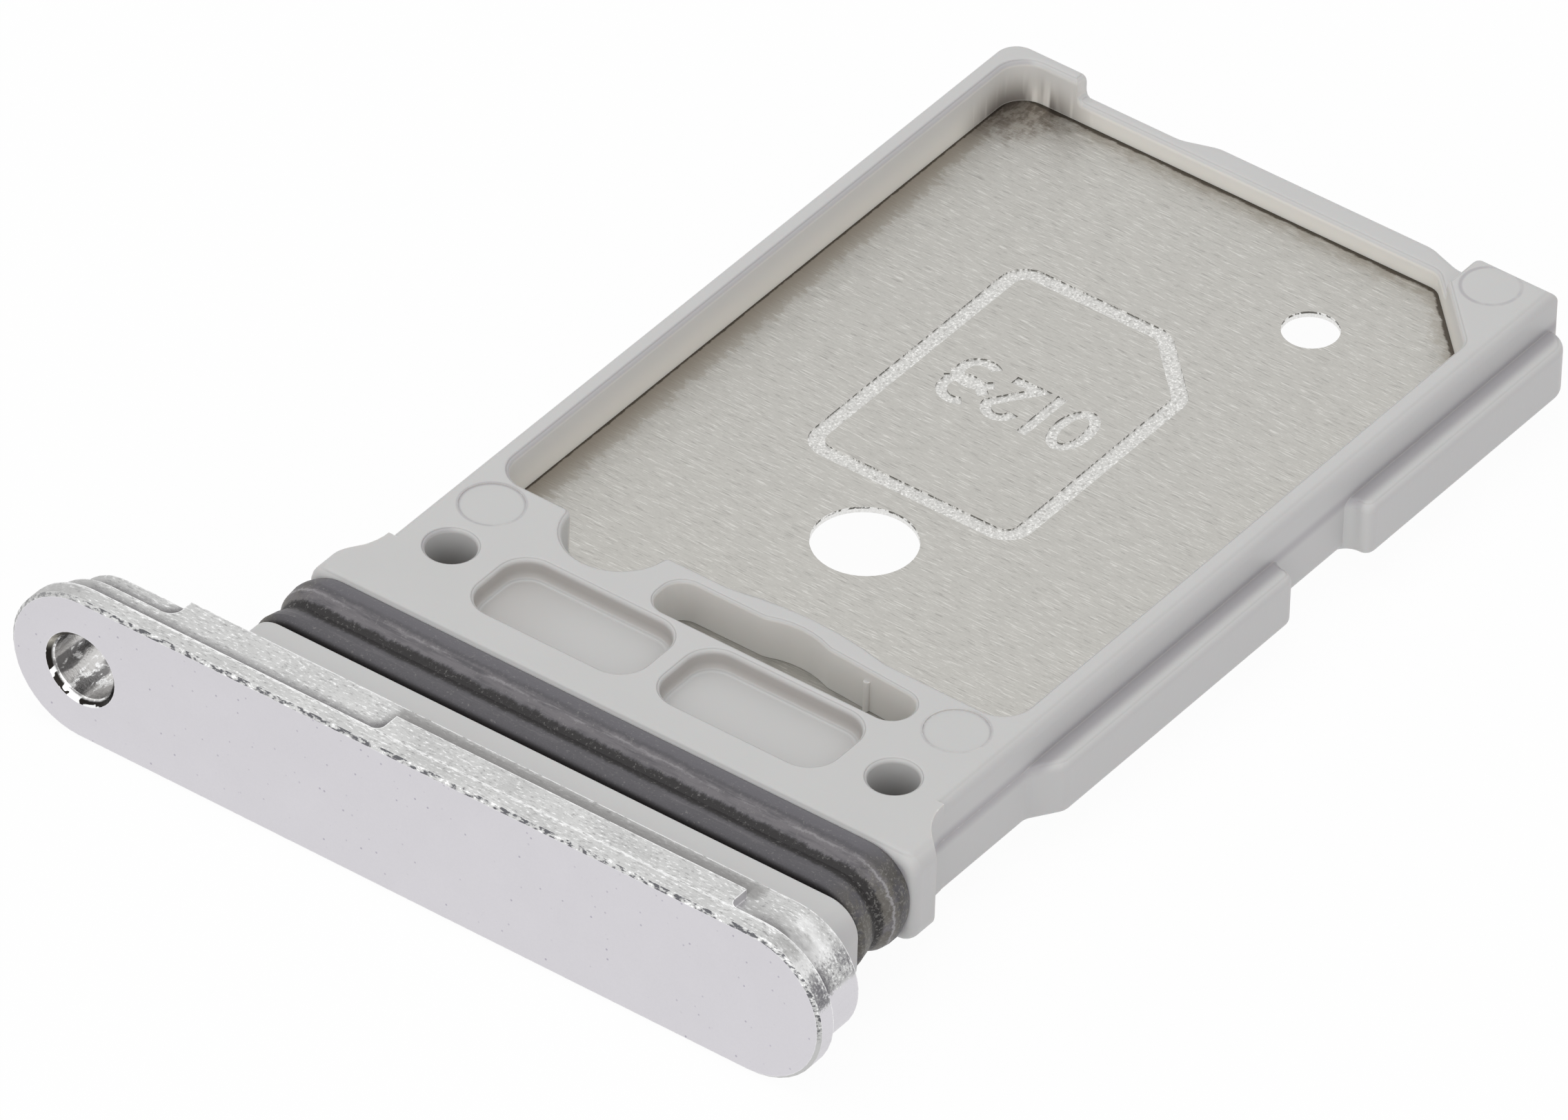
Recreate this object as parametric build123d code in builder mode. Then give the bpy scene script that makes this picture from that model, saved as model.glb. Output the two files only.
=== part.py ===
from build123d import *
import os

os.makedirs("parts", exist_ok=True)

# Sizes in millimetres. X runs along the face plate, Y from the face plate to the far
# end of the carrier, Z up. The origin is the middle of the bounding box's underside.

# card and the pocket that takes it
card_w = 8.8
card_l = 12.3
card_t = 0.67
card_side_gap = 0.15
card_top_gap = 0.05
pocket_corner_cut = 1.5
pocket_corner_r = 0.45
pocket_w = card_w + card_side_gap
pocket_l = card_l + card_side_gap
pocket_d = card_t + card_top_gap

# face plate
face_len = 14.1
face_h = 2.46
face_slab_t = 0.32
face_edge = 0.05
face_depth = 1.09
step_inset = 0.15
step2_inset = 0.32
step2_start = 0.68
step2_reach = 2.34
step2_r = 0.2
pad_x = -0.83
pad_len = 6.05
pad_depth = 0.73
pad_corner_r = 0.14
pin_hole_r = 0.52
pin_hole_bevel = 0.09
key_w = 8.0
key_h = 0.9
key_depth = 0.5
key_r = 0.2
mould_gap = 0.004

# divider plate
plate_t = 0.1
plate_grip = 0.15
plate_root = 2.3
plate_corner_r = 0.5
hole_big_r = 0.785
hole_big_x = 4.463
hole_big_y = 2.715
hole_small_r = 0.431
hole_small_x = 6.568
hole_small_y = 10.573
etch_depth = 0.02
etch_line = 0.25
etch_w = 3.83
etch_l = 5.38
etch_x = 4.28
etch_y = 6.578
etch_cut = 1.12
etch_r = 0.45
etch_stroke = 0.17
digit_h = 0.43
digit_w = 0.45
zero_x = -1.0
one_x = -0.45
two_x = -0.11
three_x = 0.65

# carrier frame
body_x = 1.09
rail_w = 0.36
far_rail_t = 0.31
far_bulge = 0.19
collar_front_depth = 0.71
collar_front_len = 10.56
collar_front_r = 0.5
collar_drop = 0.02
groove_w = 1.27
collar_rear_depth = 0.66
collar_rear_proud = 0.465
collar_rear_r = 0.3
collar_rear_edge = 0.17
collar_front_edge = 0.03
crossbar_depth = 2.65
flare_r = 0.9
collar_straight = 0.5
core_drop = 0.27
outer_corner_r = 0.4
boss_corner_r = 0.25
cut_corner_r = 0.3
outer_edge_r = 0.2
inner_edge_r = 0.1
low_rail_z = 0.35
low_rail_x0 = 1.05
low_rail_x1 = 7.94
bulge_x0 = 2.72
bulge_x1 = 7.6
bulge_ramp = 0.55
bulge_ramp_r = 0.6

# small features on the crossbar, measured from the pocket's near left corner
thumb_x = 2.17
thumb_r = 0.82
thumb_edge_r = 0.12
slot_x0 = 3.38
slot_x1 = 7.76
slot_near = -1.035
slot_far = -0.25
slot_end_r = 0.33
slot_taper = 0.12
slot_nib_x = 5.45
slot_nib_len = 1.1
slot_nib = 0.12
slot_nib_r = 0.3
slot_rib_x = 6.72
slot_rib_r = 0.05
slot_rib_drop = 0.2
slot_rim_r = 0.07
nib_reach = 0.17
nib_x = 5.46
nib_len = 2.75
recess_y = -1.89
recess_h = 1.39
recess_r = 0.45
recess_d = 0.33
recess1_x = 2.785
recess1_len = 2.89
recess2_x = 6.055
recess2_len = 2.93
recess_rim_r = 0.08
recess_floor_r = 0.12
core_hole_r = 0.372
core_rim_r = 0.08
core_hole_ax = 0.5
core_hole_ay = -1.71
core_hole_bx = 8.4
core_hole_by = -1.96
mark_r = 0.48
mark_depth = 0.02
mark_near_y = -0.61
mark_left_x = 0.38
mark_right_x = 8.49

# guide flange low on the right side
flange_reach = 0.75
flange_waist = 0.42
flange_top = 0.1
flange_start = 0.15
flange_notch_y0 = 5.85
flange_notch_y1 = 7.65
flange_notch_r = 0.26
flange_end_in = 0.1
flange_edge = 0.14
flange_ramp = 0.5
flange_ramp_r = 0.25
flange_tip_r = 0.18
flange_end_r = 0.4
flange_notch_x = 0.3

# seal ring; it reaches farther on the left, as in the photo
seal_gap = 0.08
seal_edge = 0.12
lip1_at = 0.21
lip1_proud = 0.02
lip1_front = 0.03
lip1_back = 0.015
valley_at = 0.58
valley_drop = 0.08
lip2_at = 0.84
lip2_proud = 0.055
lip2_back = 0.045
seal_corner_r = 0.72
seal_inset = 0.08
seal_lead = 0.15

# derived levels and stations
nib_bend_r = (nib_len ** 2 / 4 + nib_reach ** 2) / (2 * nib_reach)
mid_z = face_h / 2
plate_top = mid_z + plate_t / 2
carrier_half = plate_t / 2 + pocket_d
carrier_top = mid_z + carrier_half
collar_rear_len = pocket_w + 2 * (rail_w + collar_rear_proud)
flare_reach = (flare_r ** 2 - (flare_r - collar_rear_proud) ** 2) ** 0.5
seal_x = body_x - seal_lead / 2
seal_len = collar_rear_len - 2 * seal_inset + seal_lead
seal_flat_x = seal_len / 2 - seal_corner_r
seal_flat_z = carrier_half - seal_corner_r
total_y = (face_depth + collar_front_depth + groove_w + collar_rear_depth
           + crossbar_depth + pocket_l + far_rail_t + far_bulge)
y_front = -total_y / 2
y_collar = y_front + face_depth
y_groove = y_collar + collar_front_depth
y_rear = y_groove + groove_w
y_cross = y_rear + collar_rear_depth
y_pocket = y_cross + crossbar_depth
y_far = y_pocket + pocket_l
y_end = y_far + far_rail_t
x_pocket = body_x - pocket_w / 2
x_right = body_x + pocket_w / 2

# how closely an edge or a corner is looked up
exact = 0.001
near = 0.01


def facing(y):
    return Plane(origin=(0, y, mid_z), x_dir=(1, 0, 0), z_dir=(0, -1, 0))


def level(z):
    return Plane(origin=(x_pocket, y_pocket, z), x_dir=(1, 0, 0), z_dir=(0, 0, 1))


# face plate: pill-shaped front slab, stepped back body, eject-pin hole
with BuildPart() as face_plate:
    with BuildSketch(facing(y_front)):
        SlotOverall(face_len, face_h)
    extrude(amount=-face_slab_t)
    chamfer(face_plate.faces().sort_by(Axis.Y)[0].edges(), length=face_edge)
    with BuildSketch(facing(y_front + face_slab_t)):
        SlotOverall(face_len - 2 * step_inset, face_h - 2 * step_inset)
    extrude(amount=-(face_depth - face_slab_t))
    with BuildSketch(Plane.XY.offset(mid_z)):
        with Locations((pad_x + pad_len / 2, y_front + pad_depth / 2)):
            Rectangle(pad_len, pad_depth)
        with Locations((pad_x + pad_len / 2, y_front + face_slab_t + pad_corner_r / 2)):
            Rectangle(pad_len + 2 * pad_corner_r, pad_corner_r)
        with Locations((pad_x - pad_corner_r, y_front + face_slab_t + pad_corner_r),
                       (pad_x + pad_len + pad_corner_r, y_front + face_slab_t + pad_corner_r)):
            Circle(pad_corner_r, mode=Mode.SUBTRACT)
        with Locations((pad_x + pad_len / 2, y_front + face_edge)):
            Rectangle(pad_len + 2 * pad_corner_r, 2 * face_edge, mode=Mode.SUBTRACT)
    extrude(amount=face_h / 2, both=True)
    with BuildSketch(Plane.XY) as corner_cut:
        with Locations((-face_len / 2 + step2_reach / 2, y_front + step2_start + face_depth / 2)):
            Rectangle(step2_reach, face_depth)
        fillet(corner_cut.vertices().group_by(Axis.Y)[0].sort_by(Axis.X)[-1], radius=step2_r)
    extrude(amount=face_h, mode=Mode.SUBTRACT)
    with BuildSketch(facing(y_front + face_slab_t)):
        SlotOverall(face_len - 2 * step2_inset, face_h - 2 * step2_inset)
    extrude(amount=-(face_depth - face_slab_t))
    with BuildSketch(facing(y_front)):
        with Locations((-face_len / 2 + face_h / 2, 0)):
            Circle(pin_hole_r)
    extrude(amount=-face_depth, mode=Mode.SUBTRACT)
    with BuildSketch(facing(y_front)):
        with Locations((-face_len / 2 + face_h / 2, 0)):
            Circle(pin_hole_r + pin_hole_bevel)
    extrude(amount=-pin_hole_bevel, taper=45, mode=Mode.SUBTRACT)
    with BuildSketch(facing(y_collar)):
        with Locations((body_x, 0)):
            RectangleRounded(key_w + 2 * mould_gap, key_h + 2 * mould_gap,
                             key_r + mould_gap)
    extrude(amount=key_depth + mould_gap, mode=Mode.SUBTRACT)

face_plate.part.label = "face_plate"
export_step(face_plate.part, "parts/face_plate.step")


# divider plate: thin sheet with two holes and a shallow etched mark
with BuildPart() as divider_plate:
    with BuildSketch(level(plate_top - plate_t)) as sheet:
        with Locations((pocket_w / 2, (pocket_l - plate_root) / 2)):
            RectangleRounded(pocket_w + 2 * plate_grip, pocket_l + plate_root + 2 * plate_grip,
                             plate_corner_r)
        with Locations((hole_big_x, hole_big_y)):
            Circle(hole_big_r, mode=Mode.SUBTRACT)
        with Locations((hole_small_x, hole_small_y)):
            Circle(hole_small_r, mode=Mode.SUBTRACT)
    extrude(amount=plate_t)
    with BuildSketch(level(plate_top)) as mark:
        with Locations((etch_x, etch_y)):
            Rectangle(etch_w, etch_l)
        corner = mark.vertices().sort_by(Axis.X)[2:].sort_by(Axis.Y)[-1]
        chamfer(corner, length=etch_cut)
        fillet(mark.vertices(), radius=etch_r)
        offset(amount=-etch_line, mode=Mode.SUBTRACT)
    extrude(amount=-etch_depth, mode=Mode.SUBTRACT)
    with BuildSketch(Plane(origin=(x_pocket + etch_x, y_pocket + etch_y, plate_top),
                           x_dir=(-1, 0, 0), z_dir=(0, 0, 1))):
        with Locations((zero_x, 0)):
            Ellipse(digit_w / 2 + etch_stroke / 2, digit_h + etch_stroke / 2)
            Ellipse(digit_w / 2 - etch_stroke / 2, digit_h - etch_stroke / 2, mode=Mode.SUBTRACT)
        with Locations((one_x, 0)):
            Rectangle(etch_stroke, 2 * digit_h + etch_stroke)
        with BuildLine():
            ThreePointArc((two_x, digit_h / 2), (two_x + digit_w / 2, digit_h),
                          (two_x + digit_w, digit_h / 2))
            Polyline((two_x + digit_w, digit_h / 2), (two_x, -digit_h), (two_x + digit_w, -digit_h))
        trace(line_width=etch_stroke)
        with BuildLine():
            ThreePointArc((three_x, digit_h), (three_x + digit_w, digit_h / 2), (three_x, 0))
            ThreePointArc((three_x, 0), (three_x + digit_w, -digit_h / 2), (three_x, -digit_h))
        trace(line_width=etch_stroke)
    extrude(amount=-etch_depth, mode=Mode.SUBTRACT)

divider_plate.part.label = "divider_plate"
export_step(divider_plate.part, "parts/divider_plate.step")


# flange low on the right side, with its waist, ramp and round notch
with BuildPart() as flange_bar:
    with BuildSketch(level(mid_z - carrier_half)) as flange:
        with BuildLine():
            Polyline((pocket_w + inner_edge_r, -crossbar_depth),
                     (pocket_w + flange_waist, -crossbar_depth),
                     (pocket_w + flange_waist, flange_start - flange_ramp / 2),
                     (pocket_w + flange_reach, flange_start + flange_ramp / 2),
                     (pocket_w + flange_reach, flange_notch_y0),
                     (pocket_w + flange_notch_x, flange_notch_y0),
                     (pocket_w + flange_notch_x, flange_notch_y1),
                     (pocket_w + flange_reach, flange_notch_y1),
                     (pocket_w + flange_reach, pocket_l + far_rail_t - flange_end_in),
                     (pocket_w + inner_edge_r, pocket_l + far_rail_t - flange_end_in), close=True)
        make_face()
        fillet(flange.vertices().filter_by(
            lambda v: v.X > pocket_w + flange_reach - near and v.Y > pocket_l), radius=flange_end_r)
        fillet(flange.vertices().filter_by(
            lambda v: v.X > pocket_w + flange_reach - near
            and flange_notch_y0 - near < v.Y < flange_notch_y1 + near), radius=flange_tip_r)
        fillet(flange.vertices().filter_by(
            lambda v: abs(v.X - pocket_w - flange_notch_x) < near), radius=flange_notch_r)
        fillet(flange.vertices().filter_by(
            lambda v: abs(v.Y - flange_start) < flange_ramp), radius=flange_ramp_r)
    extrude(amount=carrier_half + plate_t / 2 + flange_top)
    fillet(flange_bar.edges().filter_by(
        lambda e: e.center().X > x_right + rail_w / 2 + near and y_cross + near < e.center().Y
        and e.center().Y < y_end - flange_end_in - near
        and (abs(e.center().Z - mid_z + carrier_half) < exact
             or abs(e.center().Z - plate_top - flange_top) < exact)), radius=flange_edge)


# carrier frame: crossbar, rails, two collars and the core of the seal groove
with BuildPart() as carrier_frame:
    with BuildSketch(mode=Mode.PRIVATE) as nib:
        with Locations((nib_x, nib_reach - nib_bend_r)):
            Circle(nib_bend_r)
        with Locations((nib_x, 0)):
            Rectangle(2 * nib_len, 2 * nib_reach, mode=Mode.INTERSECT)
    with BuildSketch(level(mid_z - carrier_half)) as outline:
        with Locations((pocket_w / 2, (pocket_l + far_rail_t - crossbar_depth) / 2)):
            Rectangle(pocket_w + 2 * rail_w, pocket_l + far_rail_t + crossbar_depth)
        far_corners = outline.vertices().group_by(Axis.Y)[-1].sort_by(Axis.X)
        fillet(far_corners[0], radius=outer_corner_r)
        fillet(far_corners[-1], radius=boss_corner_r)
        with Locations((pocket_w / 2, pocket_l / 2)):
            RectangleRounded(pocket_w, pocket_l, pocket_corner_r, mode=Mode.SUBTRACT)
        with Locations((thumb_x, 0)):
            Circle(thumb_r, mode=Mode.SUBTRACT)
        with BuildLine():
            Polyline((pocket_w - pocket_corner_cut, pocket_l + far_rail_t / 2),
                     (pocket_w - pocket_corner_cut, pocket_l),
                     (pocket_w, pocket_l - pocket_corner_cut),
                     (pocket_w + rail_w / 2, pocket_l - pocket_corner_cut),
                     (pocket_w + rail_w / 2, pocket_l + far_rail_t / 2), close=True)
        make_face()
        fillet(outline.vertices().filter_by(
            lambda v: abs(v.X - pocket_w + pocket_corner_cut) < near and abs(v.Y - pocket_l) < near
            or abs(v.X - pocket_w) < near and abs(v.Y - pocket_l + pocket_corner_cut) < near),
            radius=cut_corner_r)
        with BuildLine():
            Polyline((bulge_x0, pocket_l + far_rail_t / 2), (bulge_x0, pocket_l + far_rail_t),
                     (bulge_x0 + bulge_ramp, pocket_l + far_rail_t + far_bulge),
                     (bulge_x1 - bulge_ramp, pocket_l + far_rail_t + far_bulge),
                     (bulge_x1, pocket_l + far_rail_t), (bulge_x1, pocket_l + far_rail_t / 2),
                     close=True)
        make_face()
        fillet(outline.vertices().filter_by(
            lambda v: bulge_x0 - near < v.X < bulge_x1 + near
            and v.Y > pocket_l + far_rail_t - near), radius=bulge_ramp_r)
        add(nib.sketch)
        thumb_edges = outline.vertices().filter_by(
            lambda v: abs(v.Y) < near and abs(abs(v.X - thumb_x) - thumb_r) < near)
        fillet(thumb_edges, radius=thumb_edge_r)
    extrude(amount=2 * carrier_half)
    with BuildSketch(level(plate_top + low_rail_z)):
        with Locations(((low_rail_x0 + low_rail_x1) / 2, pocket_l + far_rail_t / 2)):
            Rectangle(low_rail_x1 - low_rail_x0, 3 * (far_rail_t + far_bulge))
    extrude(amount=carrier_half, mode=Mode.SUBTRACT)
    side_edges = carrier_frame.edges().filter_by(
        lambda e: abs(e.center().Z - mid_z) > carrier_half - exact and e.center().Y > y_cross + near)
    side_edges += carrier_frame.edges().filter_by(
        lambda e: abs(e.center().Z - plate_top - low_rail_z) < exact
        and x_pocket + low_rail_x0 + near < e.center().X < x_pocket + low_rail_x1 - near)
    outer_edges = side_edges.filter_by(
        lambda e: (abs(e.center().X - body_x) > pocket_w / 2 + rail_w / 2
                   or e.center().Y > y_far + far_rail_t / 2))
    fillet(outer_edges, radius=outer_edge_r)
    inner_edges = carrier_frame.edges().filter_by(
        lambda e: abs(e.center().X - body_x) < pocket_w / 2 + rail_w / 2
        and e.center().Y > y_cross + near and e.center().Y < y_far + far_rail_t / 2
        and (abs(abs(e.center().Z - mid_z) - carrier_half) < exact
             or abs(e.center().Z - plate_top - low_rail_z) < exact))
    fillet(inner_edges, radius=inner_edge_r)

    # front collar, groove core, rear collar and the flares behind it
    with BuildSketch(facing(y_collar)):
        with Locations((body_x, 0)):
            RectangleRounded(collar_front_len, 2 * carrier_half - 2 * collar_drop, collar_front_r)
    extrude(amount=-collar_front_depth)
    with BuildSketch(facing(y_collar)):
        with Locations((body_x, 0)):
            RectangleRounded(key_w, key_h, key_r)
    extrude(amount=key_depth)
    with BuildSketch(facing(y_groove)):
        with Locations((seal_x, 0)):
            RectangleRounded(seal_len - 2 * core_drop, 2 * (carrier_half - core_drop),
                             seal_corner_r - core_drop)
    extrude(amount=-groove_w)
    with BuildSketch(facing(y_rear)):
        with Locations((body_x, 0)):
            RectangleRounded(collar_rear_len, 2 * carrier_half, collar_rear_r)
    extrude(amount=-(collar_straight + flare_reach))
    with BuildSketch(Plane(origin=(body_x, y_rear + collar_straight + flare_reach, 0))):
        with Locations((-pocket_w / 2 - rail_w - flare_r, 0), (pocket_w / 2 + rail_w + flare_r, 0)):
            Circle(flare_r)
    extrude(amount=face_h, mode=Mode.SUBTRACT)
    fillet(carrier_frame.edges().filter_by(
        lambda e: abs(e.center().Y - y_rear) < exact
        and (abs(e.center().Z - mid_z) > carrier_half - near
             or abs(e.center().X - body_x) > collar_rear_len / 2 - near)), radius=collar_rear_edge)
    fillet(carrier_frame.edges().filter_by(
        lambda e: abs(e.center().Y - y_groove) < exact
        and (abs(e.center().Z - mid_z) > carrier_half - core_drop / 2
             or abs(e.center().X - body_x) > collar_front_len / 2 - collar_front_r / 2)),
        radius=collar_front_edge)
    add(flange_bar.part)

    # spring slot right through, beside the pocket's near edge
    with BuildSketch(level(0)) as slot_cut:
        with BuildLine():
            Polyline((slot_nib_x + slot_nib_len / 2, slot_far),
                     (slot_x1, slot_far - slot_taper), (slot_x1, slot_near),
                     (slot_x0, slot_near), (slot_x0, slot_far),
                     (slot_nib_x - slot_nib_len / 2, slot_far))
            ThreePointArc((slot_nib_x - slot_nib_len / 2, slot_far),
                          (slot_nib_x, slot_far + slot_nib),
                          (slot_nib_x + slot_nib_len / 2, slot_far))
        make_face()
        fillet(slot_cut.vertices().filter_by(
            lambda v: abs(v.X - slot_nib_x) > slot_nib_len), radius=slot_end_r)
        fillet(slot_cut.vertices().filter_by(
            lambda v: abs(abs(v.X - slot_nib_x) - slot_nib_len / 2) < near), radius=slot_nib_r)
    extrude(amount=face_h, mode=Mode.SUBTRACT)
    fillet(carrier_frame.edges().filter_by(
        lambda e: abs(abs(e.center().Z - mid_z) - carrier_half) < exact
        and y_pocket + slot_near - near < e.center().Y < y_pocket + slot_far + slot_nib + near
        and x_pocket + slot_x0 - near < e.center().X < x_pocket + slot_x1 + near
        and e.center().Y < y_pocket - near), radius=slot_rim_r)
    with BuildSketch(level(mid_z - carrier_half + slot_rib_drop)):
        with Locations((slot_rib_x, slot_far - slot_taper / 2)):
            Circle(slot_rib_r)
    extrude(amount=2 * carrier_half - 2 * slot_rib_drop)

    # moulding recesses from the top, core pin holes down to the plate and ejector marks
    with BuildSketch(level(carrier_top)):
        with Locations((recess1_x, recess_y)):
            RectangleRounded(recess1_len, recess_h, recess_r)
        with Locations((recess2_x, recess_y)):
            RectangleRounded(recess2_len, recess_h, recess_r)
    extrude(amount=-recess_d, mode=Mode.SUBTRACT)
    fillet(carrier_frame.edges().filter_by(
        lambda e: abs(e.center().Z - carrier_top + recess_d) < exact
        and y_cross < e.center().Y < y_pocket), radius=recess_floor_r)
    fillet(carrier_frame.edges().filter_by(
        lambda e: abs(e.center().Z - carrier_top) < exact
        and abs(e.center().Y - y_pocket - recess_y) < recess_h / 2 + near
        and x_pocket + recess1_x - recess1_len / 2 - near < e.center().X
        and e.center().X < x_pocket + recess2_x + recess2_len / 2 + near), radius=recess_rim_r)
    with BuildSketch(level(0)):
        with Locations((core_hole_ax, core_hole_ay), (core_hole_bx, core_hole_by)):
            Circle(core_hole_r)
    extrude(amount=face_h, mode=Mode.SUBTRACT)
    fillet(carrier_frame.edges().filter_by(GeomType.CIRCLE).filter_by(
        lambda e: abs(abs(e.center().Z - mid_z) - carrier_half) < exact
        and abs(e.radius - core_hole_r) < exact), radius=core_rim_r)
    with BuildSketch(level(carrier_top)):
        with Locations((mark_left_x, mark_near_y), (mark_right_x, mark_near_y)):
            Circle(mark_r)
    extrude(amount=-mark_depth, mode=Mode.SUBTRACT)

    # cavity that the divider plate fills
    with BuildSketch(level(plate_top - plate_t - mould_gap)):
        with Locations((pocket_w / 2, (pocket_l - plate_root) / 2)):
            RectangleRounded(pocket_w + 2 * plate_grip + 2 * mould_gap,
                             pocket_l + plate_root + 2 * plate_grip + 2 * mould_gap,
                             plate_corner_r + mould_gap)
    extrude(amount=plate_t + 2 * mould_gap, mode=Mode.SUBTRACT)

carrier_frame.part.label = "carrier_frame"
export_step(carrier_frame.part, "parts/carrier_frame.step")


# seal ring: two soft lips round the core between the collars
with BuildPart() as seal_ring:
    with BuildSketch(Plane(origin=(seal_x, y_groove, mid_z),
                           x_dir=(0, 1, 0), z_dir=(1, 0, 0)), mode=Mode.PRIVATE) as profile:
        with BuildLine():
            Polyline((groove_w - mould_gap, carrier_half),
                     (groove_w - mould_gap, carrier_half - core_drop + mould_gap),
                     (seal_gap, carrier_half - core_drop + mould_gap),
                     (seal_gap, carrier_half - seal_edge))
            SagittaArc((seal_gap, carrier_half - seal_edge),
                       (lip1_at, carrier_half + lip1_proud), lip1_front)
            SagittaArc((lip1_at, carrier_half + lip1_proud),
                       (valley_at, carrier_half - valley_drop), lip1_back)
            Line((valley_at, carrier_half - valley_drop), (lip2_at, carrier_half + lip2_proud))
            SagittaArc((lip2_at, carrier_half + lip2_proud),
                       (groove_w - mould_gap, carrier_half), lip2_back)
        make_face()
    corner_profile = profile.sketch.moved(Location((seal_flat_x, 0, 0)))
    corner_axis = Axis((seal_x + seal_flat_x, 0, mid_z + seal_flat_z), (0, 1, 0))
    extrude(to_extrude=profile.sketch, amount=seal_flat_x)
    revolve(profiles=corner_profile, axis=corner_axis, revolution_arc=90)
    extrude(to_extrude=corner_profile.rotate(corner_axis, 90), amount=seal_flat_z, dir=(0, 0, -1))
    mirror(about=Plane(origin=(0, 0, mid_z), z_dir=(0, 0, 1)))
    mirror(about=Plane(origin=(seal_x, 0, 0), z_dir=(1, 0, 0)))

seal_ring.part.label = "seal_ring"
export_step(seal_ring.part, "parts/seal_ring.step")
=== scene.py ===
import math
import bpy
from mathutils import Matrix, Vector


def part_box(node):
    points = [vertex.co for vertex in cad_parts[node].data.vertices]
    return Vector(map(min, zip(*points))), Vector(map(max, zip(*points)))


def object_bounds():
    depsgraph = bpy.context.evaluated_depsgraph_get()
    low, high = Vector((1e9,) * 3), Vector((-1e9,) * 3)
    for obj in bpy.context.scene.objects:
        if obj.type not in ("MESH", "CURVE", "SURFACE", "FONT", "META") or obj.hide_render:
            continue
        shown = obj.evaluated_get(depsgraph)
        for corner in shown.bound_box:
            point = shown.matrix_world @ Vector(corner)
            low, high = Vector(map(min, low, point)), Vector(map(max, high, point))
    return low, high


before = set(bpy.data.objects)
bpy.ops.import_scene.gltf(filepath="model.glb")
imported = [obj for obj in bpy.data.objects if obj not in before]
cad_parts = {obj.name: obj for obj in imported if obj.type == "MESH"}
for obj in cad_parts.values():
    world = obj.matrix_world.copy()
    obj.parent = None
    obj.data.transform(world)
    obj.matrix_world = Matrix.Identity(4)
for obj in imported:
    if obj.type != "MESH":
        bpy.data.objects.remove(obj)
cadLow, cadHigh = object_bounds()
mm = 0.001


def boxInMm(node):
    low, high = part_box(node)
    return Vector(low) / mm, Vector(high) / mm


faceLow, faceHigh = boxInMm("face_plate")
bodyLow, bodyHigh = boxInMm("carrier_frame")
sheetLow, sheetHigh = boxInMm("divider_plate")
sealLow, sealHigh = boxInMm("seal_ring")
print("frame loaded,", len(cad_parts), "nodes")


class Signal:
    # one output socket; arithmetic on it adds Math nodes
    def __init__(self, finish, socket):
        self.finish = finish
        self.socket = socket

    def __add__(self, other):
        return self.finish.math("ADD", self, other)

    def __radd__(self, other):
        return self.finish.math("ADD", other, self)

    def __sub__(self, other):
        return self.finish.math("SUBTRACT", self, other)

    def __rsub__(self, other):
        return self.finish.math("SUBTRACT", other, self)

    def __mul__(self, other):
        return self.finish.math("MULTIPLY", self, other)

    def __rmul__(self, other):
        return self.finish.math("MULTIPLY", other, self)

    def __neg__(self):
        return self.finish.math("MULTIPLY", self, -1)


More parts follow.
